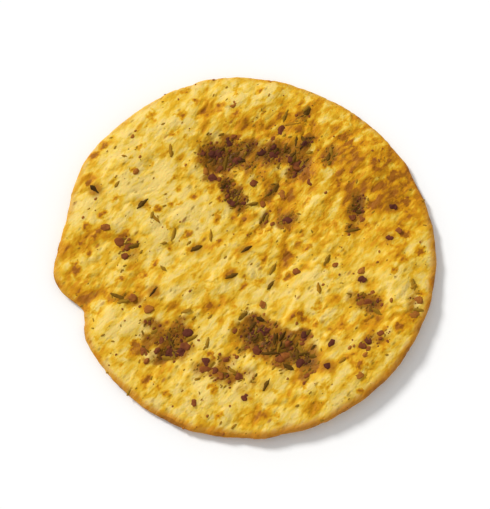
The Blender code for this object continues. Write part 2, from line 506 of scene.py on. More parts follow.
@dataclass(frozen=True)
class CrackerForm:
    """The round of dough: its outline, its two faces and what shapes them."""

    radius: float = 28.3
    thickness: float = 2.6
    rim_face: float = 1.1
    rim_undercut: float = 0.45
    rim_bulge: float = 0.35
    rim_rounding_power: int = 10
    swells: tuple[Swell, ...] = (
        Swell(187, 7, 1.0),
        Swell(200, 6, -1.7),
        Swell(213, 22, -0.9),
        Swell(167, 8, -0.65),
        Swell(148, 10, 0.25),
        Swell(130, 8, -0.3),
        Swell(95, 20, 0.25),
        Swell(355, 40, 0.5),
        Swell(255, 25, -0.25),
    )
    ragged_edge: Waves = Waves(0.16, 1 / 7, 4.0)
    curl: float = 0.62
    curl_angle: float = 140
    swelling: Waves = Waves(0.40, 11.0, 1.0)
    pressed_flat: float = 0.50
    rolling: tuple[Waves, ...] = (Waves(0.34, 7.0, 2.0), Waves(0.24, 3.3, 2.0))
    rim_calm: float = 0.75
    blisters: tuple[Blister, ...] = (
        Blister(1.2, 22.7, 6.0, 0.55),
        Blister(-10.9, 19.1, 7.0, 0.45),
        Blister(-19.0, 12.7, 6.5, 0.40),
        Blister(-13.8, 5.7, 7.5, 0.55),
        Blister(-6.6, 6.5, 5.5, 0.40),
        Blister(-11.2, -5.5, 5.5, 0.60),
        Blister(2.4, 0.1, 6.0, 0.35),
        Blister(9.8, -5.5, 6.5, 0.50),
        Blister(22.0, -1.9, 5.0, 0.40),
        Blister(12.6, 9.1, 5.5, 0.45),
        Blister(12.4, -20.9, 6.5, 0.50),
        Blister(-8.0, -21.9, 6.5, 0.45),
        Blister(-21.0, -10.7, 5.5, 0.45),
        Blister(23.2, -13.5, 4.5, 0.35),
        Blister(18.4, 14.5, 6.0, 0.45),
    )
    patches: tuple[Spot, ...] = (
        Spot(-2.8, 15.3, 3.9, 2.5, 0, 0.50),
        Spot(5.0, 16.0, 3.4, 1.9, 8, 0.40),
        Spot(8.3, 13.7, 2.3, 1.0, 35, 0.46),
        Spot(-1.9, 9.3, 2.3, 1.3, -60, 0.42),
        Spot(17.2, 6.3, 3.2, 1.1, 80, 0.36),
        Spot(-17.8, 0.5, 2.7, 1.4, -60, 0.16),
        Spot(-11.5, -13.8, 3.9, 2.9, 15, 0.30),
        Spot(-17.8, -7.6, 2.8, 1.0, -15, 0.16),
        Spot(1.8, -13.3, 3.3, 2.7, -45, 0.48),
        Spot(7.2, -15.5, 3.8, 2.7, -35, 0.48),
        Spot(-4.0, -18.6, 4.2, 1.7, -15, 0.23),
        Spot(18.4, -8.3, 2.2, 1.5, -25, 0.32),
        Spot(19.2, -13.9, 2.4, 1.2, 18, 0.20),
        Spot(25.2, -8.3, 3.0, 0.9, 80, 0.14),
    )
    crease_start: tuple[float, float] = (-27.5, -1.0)
    crease_end: tuple[float, float] = (-19.5, 2.4)
    crease_depth: float = 0.38
    crease_half_width: float = 1.1

    def outline_radius(self, angle: Array) -> Array:
        """How far the rim is from the middle.

        Args:
            angle: Angles round the middle, in radians.

        Returns:
            The radius at each angle.
        """
        radius = np.full_like(angle, self.radius)
        for swell in self.swells:
            away = (np.degrees(angle) - swell.angle + FULL_TURN / 2) % FULL_TURN - FULL_TURN / 2
            radius += swell.amount * hump(away, swell.span)
        return radius + self.ragged_edge.over(np.cos(angle), np.sin(angle))

    def middle(self) -> tuple[float, float]:
        """The middle of the outline's bounding box.

        Returns:
            Its x and y.
        """
        angles = np.radians(np.arange(FULL_TURN))
        radii = self.outline_radius(angles)
        xs, ys = radii * np.cos(angles), radii * np.sin(angles)
        return float(xs.min() + xs.max()) / 2, float(ys.min() + ys.max()) / 2

    def share_of_radius(self, x: Array, y: Array) -> Array:
        """How far out points are, from 0 in the middle to 1 on the rim."""
        return np.hypot(x, y) / self.outline_radius(np.arctan2(y, x))

    def lift(self, x: Array, y: Array) -> Array:
        """How far the dough is held above the tray.

        Args:
            x: How far right the points are.
            y: How far up they are.

        Returns:
            The lift: two sides curl up, and the whole round swells a little.
        """
        out, turned = self.share_of_radius(x, y), np.arctan2(y, x) - math.radians(self.curl_angle)
        swelling = self.swelling.height / 2 + self.swelling.over(x, y)
        return self.curl * out**2 * (1 + np.cos(2 * turned)) + swelling - self.pressed_flat

    def crease(self, x: Array, y: Array) -> Array:
        """Where the crease is.

        Args:
            x: How far right the points are.
            y: How far up they are.

        Returns:
            The share of the crease's depth at each point, from 0 to 1.
        """
        start, run = np.array(self.crease_start), np.subtract(self.crease_end, self.crease_start)
        share = ((x - start[0]) * run[0] + (y - start[1]) * run[1]) / run.dot(run)
        along = np.clip(share, 0.0, 1.0)
        across = np.hypot(x - start[0] - along * run[0], y - start[1] - along * run[1])
        return hump(across, self.crease_half_width)

    def relief(self, x: Array, y: Array) -> Array:
        """Height of the upper face's relief.

        Args:
            x: How far right the points are.
            y: How far up they are.

        Returns:
            The height of the rolling dough with its blisters, hollows and crease.
        """
        height = sum(waves.over(x, y) for waves in self.rolling)
        for blister in self.blisters:
            inside = 1 - ((x - blister.x) ** 2 + (y - blister.y) ** 2) / blister.radius**2
            height = height + blister.height * np.maximum(0.0, inside) ** 2
        for patch in self.patches:
            height = height - patch.strength * np.exp(-(patch.reach(x, y) ** 2))
        return height - self.crease_depth * self.crease(x, y)

    def lower_face(self, x: Array, y: Array) -> Array:
        """Height of the underside: flat where it lay on the tray, and rounded up to the rim."""
        rounding = self.rim_undercut * self.share_of_radius(x, y) ** self.rim_rounding_power
        return np.maximum(0.0, self.lift(x, y) + rounding)

    def upper_face(self, x: Array, y: Array) -> Array:
        """Height of the seasoned face.

        Args:
            x: How far right the points are.
            y: How far up they are.

        Returns:
            The lift, the dough's thickness and its relief, rounded down to the rim.
        """
        edge = self.share_of_radius(x, y) ** self.rim_rounding_power
        shoulder = (self.thickness - self.rim_face - self.rim_undercut) * edge
        relief = self.relief(x, y) * (1 - self.rim_calm * edge)
        return self.lift(x, y) + self.thickness - shoulder + relief

    def disc_point(self, across: Array, up: Array) -> tuple[Array, Array]:
        """Moves points of a square to the round of dough, ring for ring.

        Args:
            across: How far right the points of the square are, from -1 to 1.
            up: How far up they are, from -1 to 1.

        Returns:
            x and y of the points in the round.
        """
        ring = np.maximum(np.abs(across), np.abs(up))
        wide = np.abs(across) >= np.abs(up)
        long, short = np.where(wide, across, up), np.where(wide, up, across)
        slope = math.pi / 4 * short / np.where(long == 0, 1.0, long)
        angle = np.where(wide, slope, math.pi / 2 - slope) + math.pi * (long < 0)
        reach = ring * self.outline_radius(angle)
        return reach * np.cos(angle), reach * np.sin(angle)


# Finishes


@dataclass(frozen=True)
class Mottle:
    """A layer of noise in a finish: its spacing, its detail, its warp and how much it counts."""

    spacing: float
    detail: float = 2.0
    warp: float = 0.0
    weight: float = 1.0

    def over(self, graph: Graph, place: Link) -> Link:
        """The layer's noise of 0 to 1 at a place."""
        return graph.noise(place, self.spacing, self.detail, self.warp)


@dataclass(frozen=True)
class Fade:
    """A smooth rise from 0 at low to a share at high."""

    low: float
    high: float
    share: float = 1.0

    def of(self, value: Link) -> Link:
        """The rise of a value."""
        return value.step(self.low, self.high) * self.share


@dataclass(frozen=True)
class Specks:
    """Dust baked into the dough; its radius and the share left out are from 0 to 1."""

    spacing: float
    radius: float
    left_out: float
    colour: Colour


class DoughGraph(FinishGraph):
    """The dough's node tree, with the places and the noise that the parts of its finish share."""

    def __init__(self, dough: BakedDough) -> None:
        """Adds what the parts share.

        Args:
            dough: The finish that the tree is for.
        """
        super().__init__(dough.name)
        self.plain = self.place()
        self.streaks = self.drawn_out(self.plain, dough.grain_turn, dough.grain_stretch)
        self.streaky = dough.streaky.over(self, self.streaks)
        self.mottled = dough.mottled.over(self, self.streaks)
        self.fine = dough.fine.over(self, self.streaks)
        self.season = self.attribute("season")


@dataclass(frozen=True)
class BakedDough:
    """Golden dough with a browned rim and the stain of the za'atar, and with painted light and
    shade:
    its blisters and crags are painted pale and its hollows amber, and the rim is painted darker on
    the side away from the key light.
    """

    name: str = "baked_dough"
    cream: Colour = srgb(234, 203, 112)
    darker_tones: tuple[tuple[Fade, Colour], ...] = (
        (Fade(0.00, 0.30), srgb(230, 193, 76)),
        (Fade(0.25, 0.55), srgb(220, 170, 32)),
        (Fade(0.52, 0.86), srgb(204, 140, 10)),
        (Fade(0.84, 1.40), srgb(156, 94, 16)),
    )
    grain_turn: float = 48
    grain_stretch: float = 2.1
    broad: Mottle = Mottle(7.5, weight=0.25)
    streaky: Mottle = Mottle(2.3, warp=0.5, weight=0.70)
    mottled: Mottle = Mottle(1.1, warp=0.4, weight=1.50)
    fine: Mottle = Mottle(0.62, detail=3.0, warp=0.4, weight=0.70)
    underbaked: float = 1.375
    # Painted light and shade: the crags and heights of the relief are painted paler, and its
    # hollows darker.
    painted_crag_light_and_shade: float = 0.70
    painted_height_light_and_shade: float = 0.16
    # How the toast spots, which are partly painted shadow, darken the baking in streaks.
    streaks_of_toast_and_shadow: float = 1.6
    mottle_of_toast_and_shadow: float = 1.4
    gaps_in_toast_and_shadow: float = 0.60
    fleck_spacing: float = 1.9
    fleck_stretch: float = 1.5
    fleck_shake_spacing: float = 1.0
    fleck_shake: float = 1.8
    fleck: Fade = Fade(0.48, 0.0)
    flecks_kept: Fade = Fade(0.35, 0.75)
    fleck_browning: float = 0.45
    fleck_mottle: float = 1.5
    specks: tuple[Specks, ...] = (
        Specks(0.95, 0.30, 0.50, srgb(150, 112, 22)),
        Specks(1.35, 0.26, 0.55, srgb(140, 70, 26)),
    )
    speck_core: float = 0.2
    speck_variety: float = 0.3
    speck_strength: float = 0.7
    stained: Colour = srgb(158, 102, 16)
    soaked: Colour = srgb(90, 54, 10)
    least_stain: float = 0.35
    stain_streaks: float = 1.1
    stain_by_flakes: Fade = Fade(0.18, 0.75, 0.75)
    least_patch: float = 0.40
    patch_mottle: float = 1.1
    stain_in_patches: Fade = Fade(0.03, 0.36)
    soaking: Fade = Fade(0.31, 0.84, 0.90)
    rim: Colour = srgb(192, 122, 26)
    rim_mottle: Mottle = Mottle(3.2, detail=3.0)
    rim_side: Fade = Fade(0.972, 1.010)
    rim_ragged: float = 0.05
    # Painted shade: the rim's brown band reaches further in on the side away from the key light.
    rim_band_painted_shade: float = 0.012
    rim_strength: float = 0.45
    scorched: Colour = srgb(124, 66, 20)
    scorch_edge: Fade = Fade(0.975, 1.0)
    scorch_mottle: float = 2.4
    # Painted shade: the rim is scorched more on the side away from the key light.
    scorch_gaps: float = 0.75
    scorch_painted_shade: float = 0.35
    scorch_lower: float = 0.3
    scorching: Fade = Fade(0.25, 0.65, 0.55)
    grain: Mottle = Mottle(0.30, detail=3.0, warp=0.3)
    grain_height: float = 0.08
    pore_spacing: float = 0.8
    pores: Fade = Fade(0.10, 0.34, 0.25)
    fine_beside_pores: float = 0.8
    pore_height: float = 0.20
    roughness: float = 0.62
    oily: float = 0.14
    streaky_sheen: float = 0.16
    gloss: float = 0.10
    see_through: float = 0.20
    glow: Triple = (1.0, 0.55, 0.2)
    glow_depth: float = 0.7

    def material(self) -> bpy.types.Material:
        """Builds the material.

        Returns:
            The material.
        """
        graph = DoughGraph(self)
        colour = self.browned(graph, self.baking(graph) + self.flecks(graph))
        colour = self.with_zaatar(graph, self.with_specks(graph, colour))
        pores = self.pores.of(graph.cells(graph.plain, self.pore_spacing))
        uneven = pores + self.fine_beside_pores * graph.fine
        normal = graph.bump(self.grain.over(graph, graph.streaks), self.grain_height)
        normal = graph.bump(uneven, self.pore_height, Normal=normal)
        roughness = self.roughness - self.oily * graph.season - self.streaky_sheen * graph.streaky
        return graph.finish(
            Base_Color=self.with_rim(graph, colour),
            Roughness=roughness,
            Specular_IOR_Level=self.gloss,
            Normal=normal,
            Subsurface_Weight=self.see_through,
            Subsurface_Radius=self.glow,
            Subsurface_Scale=self.glow_depth * MM,
        )

    def baking(self, graph: DoughGraph) -> Link:
        """How far the oven took the dough, with painted light and shade in it: crags and heights
        are painted paler, hollows darker, and the toast spots are partly a painted shadow.

        Args:
            graph: The dough's tree.

        Returns:
            0 where it stayed cream, up to well over 1 where it is brown.
        """
        noises = (self.broad.over(graph, graph.plain), graph.streaky, graph.mottled, graph.fine)
        layers = zip((self.broad, self.streaky, self.mottled, self.fine), noises)
        baked = sum(layer.weight * noise for layer, noise in layers) - self.underbaked
        # Painted light and shade: paler on the crags and heights of the relief, darker in its
        # hollows.
        baked = baked - self.painted_crag_light_and_shade * graph.attribute("crag")
        baked = baked - self.painted_height_light_and_shade * graph.attribute("relief")
        # The toast spots darken the baking; on the upper right they are partly painted shadow.
        patchily = self.streaks_of_toast_and_shadow * graph.streaky + self.mottle_of_toast_and_shadow * graph.mottled
        return baked + graph.attribute("toast_and_painted_shadow") * (patchily - self.gaps_in_toast_and_shadow)

    def flecks(self, graph: DoughGraph) -> Link:
        """Small ragged flecks that the oven browned.

        Args:
            graph: The dough's tree.

        Returns:
            What they add to the baking.
        """
        place = graph.shaken(graph.plain, self.fleck_shake_spacing, self.fleck_shake)
        place = graph.drawn_out(place, self.grain_turn, self.fleck_stretch)
        spots = graph.cells(place, self.fleck_spacing)
        kept = self.flecks_kept.of(graph.parts(spots.output("Color"))[0])
        return self.fleck.of(spots) * kept * (self.fleck_browning + self.fleck_mottle * graph.fine)

    def browned(self, graph: DoughGraph, baked: Link) -> Link:
        """The dough's colour, with the painted light and shade that the baking carries.

        Args:
            graph: The dough's tree.
            baked: How far the oven took the dough, with its painted light and shade.

        Returns:
            Cream, pale, golden, amber or brown.
        """
        colour: Link | Colour = self.cream
        for sets_in, darker in self.darker_tones:
            colour = graph.mix(sets_in.of(baked), colour, darker)
        return colour

    def with_specks(self, graph: DoughGraph, colour: Link) -> Link:
        """Adds the herb and sumac dust that is baked into the dough.

        Args:
            graph: The dough's tree.
            colour: The colour so far.

        Returns:
            The colour with soft specks of two colours.
        """
        for dust in self.specks:
            cells = graph.cells(graph.streaks, dust.spacing)
            kept = Fade(dust.left_out, dust.left_out + self.speck_variety, self.speck_strength)
            speck = cells.step(dust.radius, dust.radius * self.speck_core)
            factor = speck * kept.of(graph.parts(cells.output("Color"))[0])
            colour = graph.mix(factor, colour, dust.colour)
        return colour

    def with_zaatar(self, graph: DoughGraph, colour: Link) -> Link:
        """Stains the dough round the flakes and in the patches, and soaks it in the thick of them.

        Args:
            graph: The dough's tree.
            colour: The colour so far.

        Returns:
            The stained colour.
        """
        stain = graph.attribute("stain") * (self.least_stain + self.stain_streaks * graph.streaky)
        patchy = graph.season * (self.least_patch + self.patch_mottle * graph.fine)
        colour = graph.mix(self.stain_by_flakes.of(stain), colour, self.stained)
        colour = graph.mix(self.stain_in_patches.of(patchy), colour, self.stained)
        return graph.mix(self.soaking.of(patchy), colour, self.soaked)

    def with_rim(self, graph: DoughGraph, colour: Link) -> Link:
        """Browns the side of the rim, and scorches it in places, both more on the side away from
        the key light, which is painted shade on the real browning.

        Args:
            graph: The dough's tree.
            colour: The colour so far.

        Returns:
            The finished colour.
        """
        # The rim is painted darker on the side away from the key light: painted shade.
        out, up, away_from_key = (graph.attribute(name) for name in ("out", "up", "rim_painted_shade"))
        uneven = self.rim_mottle.over(graph, graph.plain) - 0.5
        side = self.rim_side.of(out + self.rim_ragged * uneven + self.rim_band_painted_shade * away_from_key)
        colour = graph.mix(side * self.rim_strength * (1 + away_from_key), colour, self.rim)
        scorched = self.scorch_mottle * uneven + self.scorch_edge.of(out) - self.scorch_gaps
        scorched = scorched + self.scorch_painted_shade * away_from_key - self.scorch_lower * up
        return graph.mix(self.scorching.of(scorched), colour, self.scorched)


@dataclass(frozen=True)
class DriedBits:
    """Dried herb or ground sumac: each bit has its own tone, between the darkest and the palest."""

    name: str
    tones: tuple[Colour, ...]
    own_tone: float = 0.86
    mottling: float = 0.28
    mottle: Mottle = Mottle(0.5, detail=3.0, warp=0.5)
    roughness: float = 0.8
    sheen: float = 0.12
    gloss: float = 0.08
    fibre: Mottle = Mottle(0.25)
    fibre_height: float = 0.06

    def material(self) -> bpy.types.Material:
        """Builds the material.

        Returns:
            The material.
        """
        graph = FinishGraph(self.name)
        place = graph.place()
        mottle = self.mottle.over(graph, place)
        least = (1 - self.own_tone - self.mottling) / 2
        tone = (graph.attribute("tone") * self.own_tone + mottle * self.mottling + least).clamped()
        colour: Link | Colour = self.tones[0]
        steps = len(self.tones) - 1
        for count, paler in enumerate(self.tones[1:]):
            colour = graph.mix(tone.step(count / steps, (count + 1) / steps), colour, paler)
        return graph.finish(
            Base_Color=colour,
            Roughness=self.roughness - self.sheen * mottle,
            Specular_IOR_Level=self.gloss,
            Normal=graph.bump(self.fibre.over(graph, place), self.fibre_height),
        )


HERB_TONES = (
    srgb(60, 38, 10),
    srgb(86, 58, 12),
    srgb(112, 80, 16),
    srgb(150, 112, 26),
    srgb(170, 116, 22),
)
SUMAC_TONES = (srgb(74, 36, 26), srgb(100, 50, 34), srgb(132, 72, 32), srgb(176, 112, 36))


# The pieces


@dataclass(frozen=True)
class ReliefLayer:
    """A layer of low relief: its kind, its height, which is below 0 for dents, and its spacing."""

    kind: str
    height: float
    spacing: float


@dataclass
class Crust:
    """The dough itself, as one closed mesh."""

    form: CrackerForm
    finish: BakedDough = field(default_factory=BakedDough)
    cells_across: int = 204
    rim_rows: int = 8
    relief: tuple[ReliefLayer, ...] = (
        ReliefLayer("Bubble", 0.34, 3.0),
        ReliefLayer("Flaky", 0.21, 1.7),
        ReliefLayer("Crumb", 0.06, 0.75),
        ReliefLayer("Crease", -0.20, 3.6),
    )
    flaky_turn: float = 48
    flaky_stretch: float = 2.2
    flaky_warp: float = 0.8
    crumb_warp: float = 0.4
    bubble_stretch: float = 1.4
    bubble_steepness: float = 2.4
    between_bubbles: float = 0.12
    crease_shake_spacing: float = 2.2
    crease_shake: float = 2.4
    crease_width: float = 0.12
    crease_gap_spacing: float = 4.0
    crease_gaps: Range = (0.42, 0.62)
    crinkled: float = 0.8
    calm_at_rim: float = 0.35
    calm_by_flakes: float = 0.6
    underside_roughness: float = 0.35
    patch_edge: float = 1.05
    patch_reach: float = 1.40
    ragged_patch: tuple[Waves, ...] = (Waves(0.45, 2.1, 7.0), Waves(0.27, 0.9, 8.0))
    per_depth: float = 1.9
    broken: Waves = Waves(1.1, 1.5, 12.0)
    broken_mean: float = 0.95
    broken_range: Range = (0.35, 1.0)
    sprinkled: float = 0.027
    sprinkled_below: float = 0.35
    drift: Waves = Waves(1.0, 5.0, 9.0)
    drift_mean: float = 0.6
    drift_range: Range = (0.1, 1.4)
    stain_reach: float = 1.35
    # The side away from the key light, where the rim gets painted shade.
    painted_shade_angle: float = -68
    dusted: tuple[Spot, ...] = (
        Spot(-2.8, 15.3, 4.4, 2.9, 0, 1.00),
        Spot(5.2, 15.9, 4.2, 2.4, 8, 0.40),
        Spot(8.4, 13.7, 2.2, 1.0, 38, 0.95),
        Spot(9.3, 17.4, 1.9, 0.8, 50, 0.85),
        Spot(-1.9, 9.3, 2.6, 1.5, -60, 1.00),
        Spot(2.2, 12.1, 3.6, 1.6, 20, 0.12),
        Spot(-5.2, 11.8, 1.3, 1.0, 0, 0.65),
        Spot(4.4, 10.0, 2.4, 0.9, 55, 0.50),
        Spot(3.0, 5.3, 2.0, 0.6, 70, 0.35),
        Spot(6.4, 4.9, 1.8, 1.1, 30, 0.75),
        Spot(9.6, 22.8, 2.0, 0.6, 52, 0.55),
        Spot(13.0, 15.5, 2.2, 0.8, 70, 0.50),
        Spot(17.1, 6.5, 3.4, 1.2, 80, 0.90),
        Spot(-12.2, -15.8, 2.4, 1.4, 15, 1.00),
        Spot(-13.8, -11.7, 1.8, 1.2, -20, 0.60),
        Spot(8.7, -13.1, 1.2, 1.0, 0, 0.90),
        Spot(8.8, -17.1, 1.6, 1.2, 60, 0.90),
        Spot(1.0, -11.1, 1.4, 1.2, 0, 0.80),
        Spot(4.5, -14.7, 5.6, 2.4, -38, 0.55),
        Spot(-3.6, -17.1, 2.0, 1.3, 10, 0.40),
        Spot(-1.2, -19.8, 2.8, 1.4, 0, 0.46),
        Spot(0.8, 16.0, 2.4, 1.9, 0, 0.80),
        Spot(18.1, -8.4, 2.3, 1.5, -25, 0.80),
    )
    # Spots that the oven browned; the large ones over the upper right are partly painted shadow.
    toasts_and_painted_shadow: tuple[Spot, ...] = (
        Spot(-25.0, 1.3, 4.5, 1.3, 25, 0.95),
        Spot(-27.0, -3.9, 2.5, 1.2, 60, 0.45),
        Spot(-6.3, 21.8, 2.0, 1.6, 60, 0.85),
        Spot(-11.0, 15.1, 4.6, 1.1, -5, 0.35),
        Spot(-19.5, 13.4, 1.2, 0.9, 45, 0.35),
        Spot(-16.8, 19.5, 2.0, 1.0, 40, 0.40),
        Spot(-7.2, 9.1, 1.4, 1.0, 30, 0.65),
        Spot(-9.8, 12.5, 1.6, 0.6, 45, 0.25),
        Spot(-11.0, 2.9, 2.2, 0.8, 80, 0.45),
        Spot(-5.8, 1.4, 2.0, 1.0, 35, 0.50),
        Spot(-12.6, -8.5, 4.6, 1.5, -10, 0.45),
        Spot(-20.4, -7.1, 3.0, 1.3, -10, 0.60),
        Spot(-24.5, -7.0, 3.4, 2.8, 70, 0.65),
        Spot(-4.9, -8.5, 3.2, 1.0, 35, 0.60),
        Spot(-21.0, -15.5, 1.6, 1.1, 50, 0.45),
        Spot(-16.4, -15.3, 1.6, 1.2, 50, 0.45),
        Spot(2.3, -25.1, 2.6, 1.2, 30, 0.90),
        Spot(10.8, -23.9, 1.6, 1.2, 40, 0.60),
        Spot(6.4, -23.3, 3.0, 1.8, 60, 0.15),
        Spot(-6.0, -27.5, 4.5, 1.3, -15, 0.55),
        Spot(17.5, -18.1, 2.2, 1.0, 55, 0.35),
        Spot(15.2, -11.7, 2.8, 1.4, 20, 0.65),
        Spot(7.4, -9.9, 1.8, 0.9, 55, 0.60),
        Spot(13.6, -7.7, 2.0, 0.9, 55, 0.50),
        Spot(23.5, -1.1, 1.7, 1.1, 5, 0.80),
        Spot(24.8, -8.9, 3.4, 1.1, 82, 0.35),
        Spot(5.9, -0.1, 3.0, 1.1, 80, 0.45),
        Spot(11.0, 2.5, 1.8, 1.0, 60, 0.35),
        Spot(0.5, 21.3, 3.6, 2.2, 0, 0.30),
        Spot(9.4, 22.7, 2.8, 1.1, 50, 0.75),
        Spot(10.2, 11.2, 1.6, 1.2, 20, 0.85),
        Spot(7.6, 9.5, 2.6, 1.8, 30, 0.35),
        Spot(16.6, 12.3, 4.6, 1.4, 85, 0.65),
        # The large spots over the upper right, here and at (12.0, 17.9) and (21.0, 10.9), are
        # partly painted shadow.
        Spot(17.5, 8.6, 11.0, 8.0, 60, 0.42),
        Spot(4.5, 8.5, 6.5, 4.6, 50, 0.48),
        Spot(24.5, 7.6, 6.0, 3.2, 80, 0.45),
        Spot(1.5, 15.4, 10.0, 4.6, 4, 0.35),
        Spot(12.0, 17.9, 13.0, 7.0, -20, 0.66),
        Spot(21.0, 10.9, 7.0, 8.0, 60, 0.64),
        Spot(-24.0, 12.1, 3.2, 1.6, 55, 0.45),
        Spot(-18.3, 0.5, 3.8, 2.8, -55, 0.34),
        Spot(-16.0, -6.2, 8.0, 3.0, 0, 0.28),
        Spot(-0.5, -1.0, 6.5, 4.0, 40, 0.22),
        Spot(-12.0, -18.7, 3.4, 2.0, 20, 0.40),
        Spot(3.0, -14.5, 9.0, 4.6, -25, 0.30),
        Spot(-11.5, -13.9, 6.0, 4.4, 15, 0.22),
        Spot(24.5, -12.9, 4.0, 2.6, 70, 0.30),
        Spot(18.8, -10.7, 4.6, 3.6, 60, 0.40),
        Spot(-15.0, 14.1, 8.0, 5.5, 45, -0.15),
        Spot(-10.0, 5.6, 6.0, 4.0, 45, -0.15),
        Spot(12.3, -17.8, 2.0, 1.1, 10, 0.80),
        Spot(13.0, -14.3, 1.5, 1.0, 35, 0.65),
        Spot(-0.1, 0.1, 1.9, 1.0, 35, 0.60),
        Spot(-2.4, -3.7, 2.4, 1.0, 20, 0.50),
        Spot(-23.0, 9.7, 2.0, 1.0, -45, 0.50),
        Spot(2.0, -5.9, 8.0, 3.0, 10, -0.12),
    )

    @staticmethod
    def is_upright(edge: bmesh.types.BMEdge) -> bool:
        """Whether an edge of the cube joins its lower face and its upper one."""
        return abs(edge.verts[0].co.z - edge.verts[1].co.z) > 1.0

    def block(self) -> tuple[bpy.types.Mesh, Array]:
        """Makes a cube of side 2 with a fine grid on every face.

        Returns:
            Its mesh, and the places of its points.
        """
        block = bmesh.new()
        bmesh.ops.create_cube(block, size=2.0)
        for upright, cuts in ((False, self.cells_across - 1), (True, self.rim_rows - 1)):
            edges = [edge for edge in block.edges if self.is_upright(edge) == upright]
            bmesh.ops.subdivide_edges(block, edges=edges, cuts=cuts, use_grid_fill=True)
        mesh = bpy.data.meshes.new("crust_block")
        block.to_mesh(mesh)
        block.free()
        places = np.empty(len(mesh.vertices) * 3, np.float32)
        mesh.vertices.foreach_get("co", places)
        return mesh, places.reshape(-1, 3).astype(float)

    def seasoning(self, x: Array, y: Array) -> Array:
        """How thickly za'atar covers the upper face, with ragged edges to each patch.

        Args:
            x: How far right the points are.
            y: How far up they are.

        Returns:
            The cover at each point, from 0 to 1.
        """
        ragged = sum(waves.over(x, y) for waves in self.ragged_patch)
        cover = np.zeros_like(x)
        full = [(patch, self.per_depth * patch.strength) for patch in self.form.patches]
        thin = [(spot, spot.strength) for spot in self.dusted]
        for spot, strength in full + thin:
            inside = (self.patch_reach - spot.reach(x, y) + ragged) / self.patch_edge
            cover = np.maximum(cover, strength * np.clip(inside, 0.0, 1.0))
        turn = math.radians(self.flaky_turn)
        along = (x * math.cos(turn) + y * math.sin(turn)) / self.flaky_stretch
        across = y * math.cos(turn) - x * math.sin(turn)
        broken = np.clip(self.broken_mean + self.broken.over(along, across), *self.broken_range)
        return np.minimum(cover * broken, 1.0)

    def toasting_and_painted_shadow(self, x: Array, y: Array) -> Array:
        """How much darker than the rest the upper face is: browned by the oven, and on the upper
        right partly a painted shadow.

        Args:
            x: How far right the points are.
            y: How far up they are.

        Returns:
            For each point, 1 where it is brown and below 0 where it is paler.
        """
        left = np.ones_like(x)
        for toast_and_painted_shadow in self.toasts_and_painted_shadow:
            left = left * (1 - toast_and_painted_shadow.strength * np.exp(-(toast_and_painted_shadow.reach(x, y) ** 2)))
        return 1 - left

    def staining(self, x: Array, y: Array, places: list[FlakePlace]) -> Array:
        """How much the flakes have stained the upper face near them.

        Args:
            x: How far right the points are.
            y: How far up they are.
            places: The flakes.

        Returns:
            The stain at each point, from 0 to 1.
        """
        stain = np.zeros_like(x)
        for place in places:
            away = np.hypot(x - place.position[0] / MM, y - place.position[1] / MM)
            stain = np.maximum(stain, hump(away, self.stain_reach) * (1 - place.shade))
        return stain

    def held(self, x: Array, y: Array, up: Array, stain: Array) -> dict[str, Array]:
        """What the finish, the relief and the za'atar need at each point.

        Args:
            x: How far right the points are.
            y: How far up the round they are.
            up: How high they are, from 0 on the underside to 1 on the upper face.
            stain: How much the flakes have stained the dough there.

        Returns:
            The numbers at the points, by name.
        """
        top = (up > 0.5) * 1.0
        season, toast_and_painted_shadow, stain = self.seasoning(x, y) * top, self.toasting_and_painted_shadow(x, y) * top, stain * top
        out, low = self.form.share_of_radius(x, y), self.form.lower_face(x, y)
        # How far each point faces away from the key light, from 0 to 1, for the painted shade on
        # the rim.
        away_from_key = 0.5 + 0.5 * np.cos(np.arctan2(y, x) - math.radians(self.painted_shade_angle))
        drift = np.clip(self.drift_mean + self.drift.over(x, y), *self.drift_range)
        strays = self.sprinkled * drift * (self.sprinkled_below + (1 - self.sprinkled_below) * top)
        calm_rim = 1 - self.calm_at_rim * out**self.form.rim_rounding_power
        calm = calm_rim * (1 - self.calm_by_flakes * stain)
        lifted = self.underside_roughness * np.clip(low / self.form.rim_undercut, 0.0, 1.0)
        return {
            "out": out,
            "up": up,
            "rim_painted_shade": away_from_key,
            "season": season,
            "toast_and_painted_shadow": toast_and_painted_shadow,
            "stain": stain,
            "relief": self.form.relief(x, y) * top,
            "rough": (up + (1 - up) * lifted) * calm * (1 + self.crinkled * toast_and_painted_shadow),
            "strewn": np.clip(season + strays, 0.0, 1.0),
        }

    def shaped(self, places: list[FlakePlace]) -> bpy.types.Mesh:
        """Moves the block to the cracker's form.

        Args:
            places: The larger flakes.

        Returns:
            The mesh, with what its points hold.
        """
        mesh, square = self.block()
        x, y = self.form.disc_point(square[:, 0], square[:, 1])
        up = (square[:, 2] + 1) / 2
        low, high = self.form.lower_face(x, y), self.form.upper_face(x, y)
        bulge = 1 + self.form.rim_bulge * 4 * up * (1 - up) / self.form.radius
        middle_x, middle_y = self.form.middle()
        right, away = x * bulge - middle_x, y * bulge - middle_y
        placed = np.stack([right, away, low + up * (high - low)], axis=1)
        mesh.vertices.foreach_set("co", (placed * MM).astype(np.float32).ravel())
        stain = self.staining(right, away, places)
        for name, values in self.held(x, y, up, stain).items():
            set_numbers(mesh, name, values)
        return mesh

